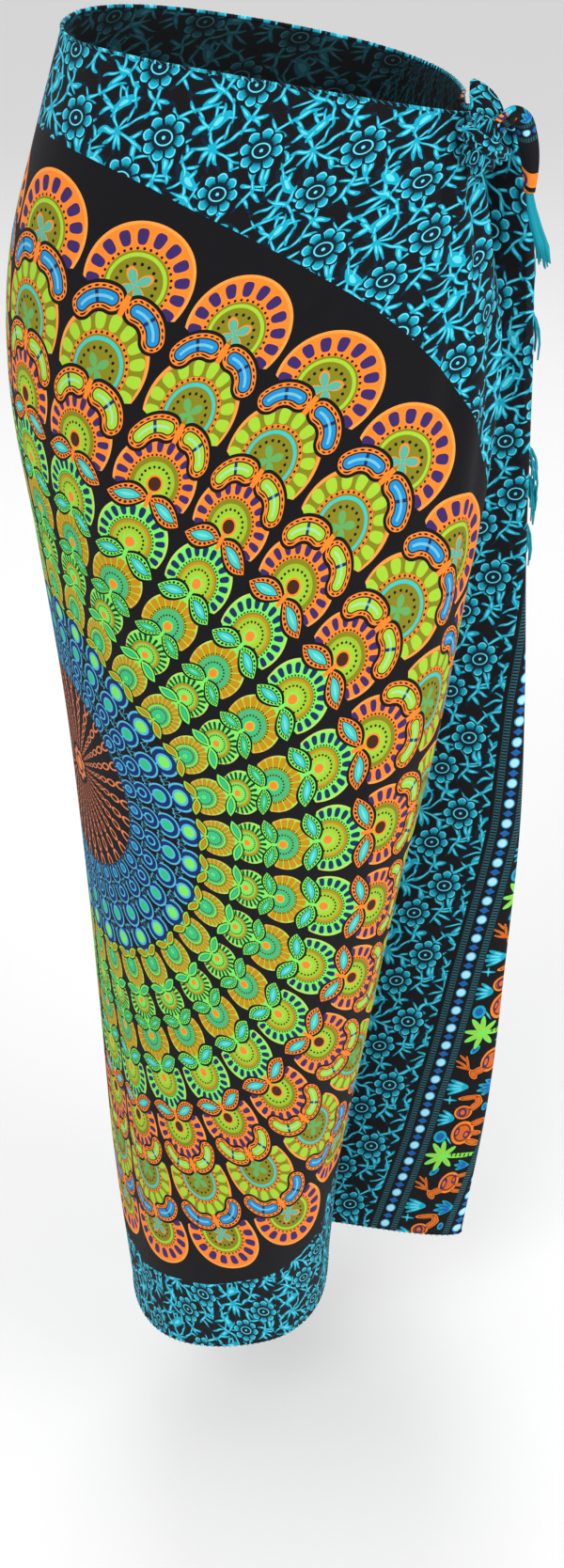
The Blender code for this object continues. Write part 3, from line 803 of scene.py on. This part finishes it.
def flower(place, size, under):
    """A flower of round petals with a ringed middle, laid over a colour."""
    x, y, _ = parts_of(place)
    out = vectors("LENGTH", place) / size
    turn = maths("ARCTAN2", y, x)
    petal = abs(maths("COSINE", turn * (PETALS / 2)))
    outline = petal * .24 + .78
    comb = maths("PINGPONG", turn * (PETALS * 2.5), 1) * .24
    under = lay(under, HALO, out < outline + .10)
    under = lay(under, CYAN, between(out, comb + .54, outline) * (petal > .36))
    under = lay(under, PALE, between(out, outline * .92, outline) * (petal > .32))
    ring = abs(length_of(x * (.9 / size), y * (1.12 / size)) - .37) < .035
    return lay(under, PALE, either(ring, out < .085))


field, place = pattern("flower_field")
place = vectors("MULTIPLY", place, MILLIMETRES)
wavy = node_for("ShaderNodeTexNoise", vectors("MULTIPLY", place, (.11, .11, .11)))
wavy.inputs["Scale"].default_value = 1
wavy.inputs["Detail"].default_value = 0
bend = vectors("MULTIPLY", vectors("SUBTRACT", Field(wavy.outputs["Color"]), (.5, .5, .5)), (5, 5, 0))
from_flower = vectors("SUBTRACT", vectors("ADD", place, bend), (*FLOWER_AT, 0))
colour = coats(BLACK, nearest_of_repeats(from_flower, VINE), (HALO, 1.75), (CYAN, 1.12), (PALE, .5))
for middle, size in ((FLOWER_AT, 12.2), (SECOND_FLOWER_AT, 11.6)):
    colour = flower(repeat_about(place, middle), size, colour)
give_out(field, colour)
print("field nodes:", len(field.nodes))

# %% [markdown]
# Both short ends carry the same border: two lines of beads between ladder stitches, with a band of
# elephants, palms and deer between them, and a band of orange scrolls next to the fringe. The
# animals stand with their feet towards the fringe.

# %% The border
BORDER_STARTS = 651       # millimetres from the middle of the cloth
BEAD_LINES = (665, 726)
BAND_FOOT = 715
ANIMAL_REPEAT = 117.5
BEAD_PITCH = 16.0
SCROLL_AT = 780

# Strokes of each kind: from x, y to x, y, half width, with the feet at y = 0
ELEPHANT = ((-15, 15.5, -4, 15.5, 8.6), (8, 20, 12, 20, 7), (-17, 10, -20, 1, 3), (-9, 9, -10, 2, 2.4),
            (-1, 10, 2, 2, 3), (13, 15, 20, 9, 3), (19, 9, 25, 12, 2.6), (25.5, 12, 23, 25, 2.2))
SADDLE = ((8, 20, 12, 21, 3.4), (-13, 12, -9, 12, 2.4), (-12, 20, -6, 20, 2))
DEER = ((-64, 12, -53, 11, 7.4), (-65, 14, -70, 22, 3.2), (-69, 24, -74, 20, 2.6), (-66, 7, -67, 0, 1.8),
        (-60, 6, -61, 0, 1.6), (-52, 6, -50, 0, 2), (-68, 25, -61, 35, 1), (-66, 27, -56, 31, 1),
        (-63, 31, -60, 38, .9), (-67, 27, -65, 36, .9), (-60, 30, -55, 36, .9))
DEER_SPOTS = ((-64, 15, -56, 15, 2.4), (-58, 8, -52, 8, 1.8))
PALM = ((-33, 25, -30, -1, 2.2), (-33, 25, -23, 34, 2.2), (-33, 25, -20, 27, 2.1), (-32, 24, -24, 18, 2),
        (-34, 24, -41, 17, 2.1), (-34, 25, -46, 27, 2.1), (-34, 26, -41, 35, 2.2), (-33, 26, -33, 37, 2))
GRASS = ((33, 24, 27, 35, 1.7), (33, 24, 31, 38, 1.8), (34, 24, 35, 38.5, 1.8), (35, 24, 39, 36, 1.7),
         (2, 27, -3, 36, 1.5), (3, 27, 1, 38, 1.5), (4, 27, 6, 38, 1.5), (5, 27, 10, 35, 1.5),
         (21, 29, 21, 38, .9), (18, 33, 24, 34, .9), (-14, 27, -20, 22, .8))
BUDS = ((33, 1, 27, 9, 1.8), (33, 1, 31, 13, 1.9), (34, 1, 36, 13, 1.9), (35, 1, 40, 9, 1.8),
        (-17, 32, -12, 32, 5), (-51, 28, -46, 25, 2.4), (-41, 2, -45, 9, 1.6), (-41, 2, -41, 11, 1.7),
        (-41, 2, -37, 9, 1.6), (13, 4, 17, 4, 2.3))

border, place = pattern("border")
across_cloth, up_cloth, _ = parts_of(vectors("MULTIPLY", place, MILLIMETRES))
side = maths("SIGN", across_cloth)
from_middle = abs(across_cloth)
animals_x = within_repeat(up_cloth * side + 328.75, ANIMAL_REPEAT) - 17.75
animals_y = BAND_FOOT - from_middle
animals = point_at(animals_x, animals_y)
colour = coats(BLACK, nearest_stroke(animals, GRASS), (CYAN, 1), (PALE, .45))
colour = coats(colour, nearest_stroke(animals, BUDS), (CYAN, 1), (linear(24, 96, 170), .62))
colour = coats(colour, nearest_stroke(animals, PALM), (GREEN, 1), (LIME, .5))
segments = (abs(animals_x + 31) < 1.6) * (maths("FRACT", animals_y / 3.4) < .35) * (animals_y < 19)
colour = lay(colour, linear(16, 60, 30), segments)
for body, cover in ((ELEPHANT, SADDLE), (DEER, DEER_SPOTS)):
    colour = coats(colour, nearest_stroke(animals, body), (BLACK, 1.14), (ORANGE, 1),
                   (linear(122, 52, 20), .78), (linear(216, 104, 30), .62))
    colour = lay(colour, PURPLE, between(nearest_stroke(animals, cover), .55, 1))
bands = between(from_middle, BAND_FOOT - 38.5, BAND_FOOT + .3)
colour = lay(BLACK, colour, bands)
bead_x = within_repeat(up_cloth, BEAD_PITCH)
arrow_x = within_repeat(bead_x + BEAD_PITCH / 2, BEAD_PITCH)
for line in BEAD_LINES:
    off = from_middle - line
    arrow = (abs(arrow_x) * 1.1 + abs(off) * .8) < 3.2
    colour = lay(colour, linear(16, 96, 170), arrow)
    bead = length_of(bead_x, off)
    colour = coats(colour, bead, (linear(60, 170, 226), 3.9), (linear(176, 234, 248), 3.0))
    ladder = between(abs(off), 6.4, 10.4)
    rung = maths("FRACT", up_cloth / 2.3) < .42
    rail = either(between(abs(off), 6.0, 6.5), between(abs(off), 10.5, 11.0))
    colour = lay(colour, linear(44, 104, 116), ladder * rung)
    colour = lay(colour, linear(26, 70, 80), rail)

# The scrolls: a waving band of orange round purple rings
scroll = abs(from_middle - SCROLL_AT - maths("SINE", up_cloth * (math.tau / 68)) * 9)
scrolls = between(from_middle, 744, 812)
colour = lay(colour, ORANGE, scrolls * (scroll < 16))
colour = lay(colour, BLACK, scrolls * (scroll < 2.2))
ring = abs(length_of(within_repeat(up_cloth, 34), from_middle - SCROLL_AT) - 8)
colour = lay(colour, PURPLE, between(from_middle, 748, 808) * (ring < 1.6))
colour = lay(colour, linear(40, 96, 106), between(from_middle, 816, 820) * rung)
give_out(border, colour)
print("border nodes:", len(border.nodes))

# %% [markdown]
# The whole print lays the wheel on the field, inside a plain black round, and the two borders over
# both. Each part is a node group of its own, so this step only says where each of them is seen.

# %% The whole print
print_tree, place = pattern("sarong_print")
x, y, _ = parts_of(place)
whole = use(field, place)
from_wheel = vectors("LENGTH", vectors("SUBTRACT", place, WHEEL_MIDDLE))
whole = lay(whole, BLACK, from_wheel < WHEEL_EDGE)
whole = lay(whole, use(wheel, place), from_wheel < RINGS[-1][0] + .06)
whole = lay(whole, use(border, place), abs(x) > BORDER_STARTS / 1000)
give_out(print_tree, whole)
print("print nodes:", len(print_tree.nodes))


# %% [markdown]
# Thin rayon is matt, with a faint sheen where light grazes it. Its weave shows only from near by, as
# a fine bump that follows the threads of the flat cloth.

# %% The printed cloth
THREADS = 1500            # to a metre


def set_inputs(node, values):
    for name, value in values.items():
        node.inputs[name].default_value = value


def cloth_finish(name, strength, painted_light):
    """Printed cloth whose colours are this strong, with a little painted light added; a low strength paints
    shade.
    """
    finish = bpy.data.materials.new(name)
    finish.use_nodes = True
    tree = finish.node_tree
    shader = tree.nodes["Principled BSDF"]
    uv = tree.nodes.new("ShaderNodeUVMap")
    uv.uv_map = "cut"
    place = Field(uv.outputs[0])
    colour = vectors("MULTIPLY", use(print_tree, place), (strength,) * 3)
    # A weakened colour here is painted shade, and the added colour is painted light
    join(vectors("ADD", colour, painted_light), shader.inputs["Base Color"])
    cloudy = node_for("ShaderNodeTexNoise", place)
    set_inputs(cloudy, {"Scale": 60, "Detail": 4})
    x, y, _ = parts_of(place)
    weave = maths("SINE", x * (math.tau * THREADS)) * maths("SINE", y * (math.tau * THREADS))
    bump = tree.nodes.new("ShaderNodeBump")
    set_inputs(bump, {"Distance": 0.0002, "Strength": 0.5})
    join(weave + Field(cloudy.outputs["Fac"]) * 3, bump.inputs["Height"])
    join(Field(bump.outputs[0]), shader.inputs["Normal"])
    set_inputs(shader, {"Roughness": 0.9, "Specular IOR Level": 0.18, "Sheen Weight": 0.03,
                        "Sheen Roughness": 0.5})
    return finish


def give_wall(piece, inner_material=0):
    """Makes a bare sheet as thick as the cloth, half of it to each side."""
    wall = piece.modifiers.new("thickness", "SOLIDIFY")
    wall.thickness = CLOTH_THICK
    wall.offset = 0
    wall.material_offset = inner_material
    bpy.context.view_layer.objects.active = piece
    bpy.ops.object.modifier_apply(modifier=wall.name)


# The wrong side shows the print only dimly: its dye is paler, and most of its darkness is painted shade,
# lifted by a faint painted light
printed = cloth_finish("printed_cloth", 1.0, (0, 0, 0))
painted_shade_wrong_side = cloth_finish("cloth_wrong_side", 0.13, (.004, .005, .006))
sarong.data.materials.append(printed)
sarong.data.materials.append(painted_shade_wrong_side)
give_wall(sarong, inner_material=1)
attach(sarong, "root")
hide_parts("wrap", "front_end", "back_end")


# %% [markdown]
# Three helpers serve the small pieces. One makes an object of a mesh, one makes a sheet through rows
# of points, and one bends such a sheet along a route, with a bow and a few pleats across it.

# %% Strips of cloth
def piece_of(name, mesh, finish):
    """An object of this mesh, which is then the active one."""
    mesh.materials.append(finish)
    piece = bpy.data.objects.new(name, mesh)
    bpy.context.scene.collection.objects.link(piece)
    nothing_selected()
    bpy.context.view_layer.objects.active = piece
    piece.select_set(True)
    bpy.ops.object.shade_smooth()
    return piece


def sheet_of(name, rows, flat):
    """A sheet through rows of points, with their places on the flat cloth."""
    high, wide = rows.shape[:2]
    index = np.arange(high * wide).reshape(high, wide)
    quads = np.stack([index[:-1, :-1], index[1:, :-1], index[1:, 1:], index[:-1, 1:]], 2).reshape(-1, 4)
    mesh = bpy.data.meshes.new(name)
    mesh.from_pydata(rows.reshape(-1, 3).tolist(), [], quads.tolist())
    layer = mesh.uv_layers.new(name="cut")
    layer.data.foreach_set("uv", flat.reshape(-1, 2)[quads.ravel()].ravel())
    piece = piece_of(name, mesh, printed)
    bpy.ops.object.mode_set(mode="EDIT")
    bpy.ops.mesh.select_all(action="SELECT")
    bpy.ops.mesh.normals_make_consistent(inside=False)
    bpy.ops.object.mode_set(mode="OBJECT")
    return piece


def strip(name, route, widths, facing, bow, pleats, flat_from, flat_to, steps=40, columns=16):
    """A narrow strip of printed cloth along a route, bowed and pleated across."""
    knots = np.arange(len(route), dtype=float)
    at = np.linspace(0, knots[-1], steps)
    line = np.array([smooth_through(knots, np.array(route), place) for place in at])
    wide = np.array([smooth_through(knots, np.array(widths), place) for place in at])[:, None, None]
    ahead = np.gradient(line, axis=0)
    ahead /= np.linalg.norm(ahead, axis=1)[:, None]
    side = np.cross(ahead, np.array(facing))
    side /= np.linalg.norm(side, axis=1)[:, None]
    face = np.cross(side, ahead)
    share = np.linspace(-.5, .5, columns)[None, :, None]
    lift = bow * (1 - 4 * share**2) + pleats[1] * np.cos(share * math.tau * pleats[0])
    rows = line[:, None] + wide * (share * side[:, None] + lift * face[:, None])
    flat = np.array(flat_from) + np.subtract(flat_to, flat_from) * np.linspace(0, 1, steps)[:, None, None]
    flat = np.concatenate([flat[..., :1] + share * 0, flat[..., 1:] + share * wide * 1.8], 2)
    piece = sheet_of(name, rows, flat)
    give_wall(piece)
    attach(piece, "root")
    return piece


# %% [markdown]
# The knot is where the two top corners are tied. Its cloth is bunched so tightly that only the ridges
# of the gathers show, so it is a ball pressed into ridges, with one flat turn of cloth drawn across.

# %% The knot
KNOT_AT, KNOT_TILT = (.1215, -.0720, -.0065), 14       # metres and degrees
KNOT_HALF = (.0125, .0125, .0180)
KNOT_RIDGES, RIDGE_DEPTH, RIDGE_TWIST = 11, .10, 2.6

nothing_selected()
bpy.ops.mesh.primitive_uv_sphere_add(segments=144, ring_count=48, radius=1)
knot = bpy.context.object
knot.name = "knot_gathers"
for vert in knot.data.vertices:
    x, y, z = vert.co
    around = math.atan2(z, x)
    ridge = math.sin(KNOT_RIDGES * around + RIDGE_TWIST * math.sin(around * 2) + 1.4 * y)
    pinch = 1 - .20 * math.exp(-(z / .34) ** 2)
    size = 1 + RIDGE_DEPTH * ridge * min(1, (1 - y * y) * 1.6)
    vert.co = Vector((x * KNOT_HALF[0] * pinch, y * KNOT_HALF[1], z * KNOT_HALF[2])) * size
knot.data.transform(Matrix.Translation(KNOT_AT) @ Matrix.Rotation(math.radians(KNOT_TILT), 4, "Y"))
layer = knot.data.uv_layers.active
layer.name = "cut"
for corner in layer.data:
    corner.uv = (.585 - .16 * corner.uv.x, .455 + .045 * corner.uv.y)
knot.data.materials.append(printed)
bpy.ops.object.shade_smooth()
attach(knot, "root")
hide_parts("knot")

turn = strip("knot_turn", ((.1085, -.0700, -.0010), (.1135, -.0815, .0000), (.1215, -.0865, -.0035),
                           (.1295, -.0835, -.0090), (.1345, -.0715, -.0150)),
             (.010, .0100, .0085, .0100, .012), (.1, -.99, 0), .10, (3, .07), (.470, .440), (.540, .452))
print("knot ridges:", KNOT_RIDGES)

# %% [markdown]
# Both corners come out of the knot. One is a band that shows the border and hangs down to its
# tassel, with a sliver of its facing. The other is a small ear, and only its folded tip stands up.

# %% The corner's band and the ear
BAND_ROUTE = ((.1262, -.0760, .0000), (.1326, -.0800, .0075), (.1380, -.0780, .0108),
              (.1439, -.0735, .0066), (.1472, -.0690, -.0032), (.1496, -.0645, -.0144),
              (.1510, -.0615, -.0259), (.1514, -.0590, -.0388))
BAND_WIDTHS = (.006, .0075, .0095, .0110, .0115, .0110, .0090, .0060)
band = strip("corner_band", BAND_ROUTE, BAND_WIDTHS, (-.25, -.97, 0), .20, (1, .04),
             (.652, .436), (.792, .430))
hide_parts("knot_corner")

EAR_ROUTE = ((.1245, -.0745, .0005), (.1243, -.0725, .0080), (.1222, -.0690, .0150), (.1190, -.0650, .0210),
             (.1157, -.0620, .0262))
EAR_WIDTHS = (.012, .0185, .0165, .0110, .0030)
ear = strip("corner_ear", EAR_ROUTE, EAR_WIDTHS, (.1, -.99, 0), .16, (1.5, .05), (.548, .470), (.588, .492))
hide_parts("knot_ear")
sliver = strip("corner_facing", ((.1335, -.0835, .0125), (.1298, -.0855, .0105), (.1258, -.0875, .0075)),
               (.0030, .0034, .0016), (-.2, -.97, 0), .1, (1, 0), (.770, .470), (.800, .470), 10, 6)
print("band and ear:", len(band.data.vertices) + len(ear.data.vertices), "points")

# %% [markdown]
# The fringe is the cloth's own threads, left loose at both short ends and twisted into strands. Most
# of it hangs behind the flap, so that only a few tufts come out past the edge. One helper makes every
# thread: a thin tube along a line of points.

# %% Threads
def tubes(name, paths, radii, sides, finish, flats=None):
    """Tubes along these lines, closed at their ends. radii has one size for each point of a line."""
    circle = np.linspace(0, math.tau, sides, endpoint=False)[None, :, None]
    points, faces, uvs = [], [], []
    for number, path in enumerate(paths):
        path = np.array(path)
        ahead = np.gradient(path, axis=0)
        ahead /= np.linalg.norm(ahead, axis=1)[:, None]
        side = np.cross(ahead, (.31, -.90, .28))
        side /= np.linalg.norm(side, axis=1)[:, None]
        over = np.cross(ahead, side)
        size = np.broadcast_to(radii, len(path))[:, None, None]
        ring = np.cos(circle) * side[:, None] + np.sin(circle) * over[:, None]
        index = len(points) * sides + np.arange(len(path) * sides).reshape(len(path), sides)
        following = np.roll(index, -1, axis=1)
        faces += np.stack([index[:-1], following[:-1], following[1:], index[1:]], 2).reshape(-1, 4).tolist()
        faces += [index[0, ::-1].tolist(), index[-1].tolist()]
        points += list(path[:, None] + size * ring)
        if flats is not None:
            uvs += list(np.repeat(flats[number][:, None], sides, axis=1))
    mesh = bpy.data.meshes.new(name)
    mesh.from_pydata(np.concatenate(points).tolist(), [], faces)
    if flats is not None:
        layer = mesh.uv_layers.new(name="cut")
        at = np.concatenate(uvs)
        layer.data.foreach_set("uv", at[[corner.vertex_index for corner in mesh.loops]].ravel())
    piece = piece_of(name, mesh, finish)
    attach(piece, "root")
    return piece


thread = bpy.data.materials.new("fringe_thread")
thread.use_nodes = True
set_inputs(thread.node_tree.nodes["Principled BSDF"],
           {"Base Color": linear(16, 146, 164), "Roughness": 0.75, "Specular IOR Level": 0.2})
rng = np.random.default_rng(5)

# %% [markdown]
# Each strand starts at the cloth's end, leans out of it and falls. A few tufts lean out further, past
# the edge of the flap. The tassel is the fringe of the corner that hangs from the knot, bunched.

# %% The fringes
STRAND_EVERY = 0.0034
STRAND_REACH, STRAND_FALL = 0.0095, 0.036
# Where a tuft is, how much further it leans out, and how wide it is
TUFTS = ((.128, .008, .008), (.238, .010, .010), (.262, .011, .014), (.300, .008, .008))


def fringe(name, column, inner, first_drop, last_drop, tufts, replaced):
    """Strands along one end of the sheet, which lean away from its column inner."""
    ends, out = spots[:, column], spots[:, column] - spots[:, inner]
    out[:, 2] = 0
    out /= np.linalg.norm(out, axis=1)[:, None]
    paths = []
    for drop in np.arange(first_drop, last_drop, STRAND_EVERY):
        root, away = line_at(drop, drops, ends), line_at(drop, drops, out)
        reach = STRAND_REACH * rng.uniform(.4, 1)
        reach += sum(far * math.exp(-((drop - at) / wide) ** 2) for at, far, wide in tufts)
        fall = STRAND_FALL * rng.uniform(.7, 1.05)
        sway = np.array([-away[1], away[0], 0]) * rng.uniform(-.0015, .0015)
        share = np.linspace(0, 1, 6)[:, None]
        arc = away * reach * np.sin(share * 1.9) ** .8 + sway * share - np.array([0, 0, fall]) * share**1.5
        paths.append(root - away * .0006 + arc)
    piece = tubes(name, paths, np.array((.0009, .0010, .0010, .0009, .0008, .0005)), 5, thread)
    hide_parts(replaced)
    print(name, len(paths), "strands")


fringe("end_strands", -1, -4, .045, .962, TUFTS, "end_fringe")
fringe("tucked_strands", 0, 3, .12, .962, (), "tuck_fringe")

TAIL = np.array(((.1514, -.0588, -.0380), (.1536, -.0560, -.0490), (.1575, -.0520, -.0620),
                 (.1630, -.0480, -.0770), (.1650, -.0460, -.0880)))
tail_paths = []
for strand in range(16):
    spread = rng.uniform(-1, 1, 3) * (.0026, .0014, .0012)
    growth = np.array((.5, .8, 1.1, 1.3, 1.5))[:, None]
    short = rng.uniform(.82, 1.0)
    path = TAIL[0] + (TAIL - TAIL[0]) * short + spread * growth
    tail_paths.append(path + rng.uniform(-.0003, .0003, (5, 3)))
tail = tubes("corner_tassel", tail_paths, np.array((.0008, .0010, .0011, .0010, .0005)), 5, thread)
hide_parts("corner_fringe")

# %% [markdown]
# Both long sides end in a narrow rolled hem, whipped with small slanting stitches. The roll keeps the
# edge from fraying, and gives the waist and the bottom their thin bright line.

# %% The rolled hems
ROLL = 0.0011
STITCH_EVERY, STITCH_LONG = 0.0045, 0.0026

hem_paths = [spots[0] + (0, 0, -.0004), spots[-1] + (0, 0, .0004)]
hems = tubes("rolled_hems", hem_paths, ROLL, 8, printed, flats=[flats[0], flats[-1]])
stitches = []
for edge, out in ((spots[0], outs[0]), (spots[-1], outs[-1])):
    along = lengths_along(edge)
    for place in np.arange(.006, along[-1] - .006, STITCH_EVERY):
        ends = []
        for shift, lift in ((-.5, .0007), (.5, -.0009)):
            spot = line_at(place + shift * STITCH_LONG, along, edge)
            ends.append(spot + line_at(place, along, out) * ROLL + (0, 0, lift))
        stitches.append(ends)
sewing = tubes("hem_stitches", stitches, .00022, 4, thread)
print("stitches:", len(stitches))

# %% [markdown]
# A plain pale floor and large soft lights show the print without hard shadows.

# %% The stage
FLOOR_Z = -1.07
nothing_selected()
bpy.ops.mesh.primitive_plane_add(size=12, location=(0, 0, FLOOR_Z))
floor = bpy.context.object
floor.name = "floor"
bpy.ops.object.transform_apply(location=True)
pale = bpy.data.materials.new("pale_floor")
pale.use_nodes = True
set_inputs(pale.node_tree.nodes["Principled BSDF"], {"Base Color": (.86, .86, .86, 1), "Roughness": 0.9})
floor.data.materials.append(pale)

world = bpy.data.worlds.new("studio")
world.use_nodes = True
set_inputs(world.node_tree.nodes["Background"], {"Color": (1, 1, 1, 1), "Strength": 0.75})
bpy.context.scene.world = world
bpy.context.scene.view_settings.view_transform = "Standard"


def soft_light(name, at, aim, size, power):
    lamp = bpy.data.lights.new(name, "AREA")
    lamp.size = size
    lamp.energy = power
    holder = bpy.data.objects.new(name, lamp)
    holder.location = at
    holder.rotation_euler = (Vector(aim) - Vector(at)).to_track_quat("-Z", "Y").to_euler()
    bpy.context.scene.collection.objects.link(holder)


soft_light("key", (-1.1, -2.2, 1.6), (0, 0, -.35), 1.6, 38)
soft_light("fill", (2.0, -1.4, .4), (0, 0, -.45), 1.4, 27)
soft_light("back", (0, 2.2, 1.4), (0, 0, -.4), 1.6, 24)
print("floor at", FLOOR_Z, "m")
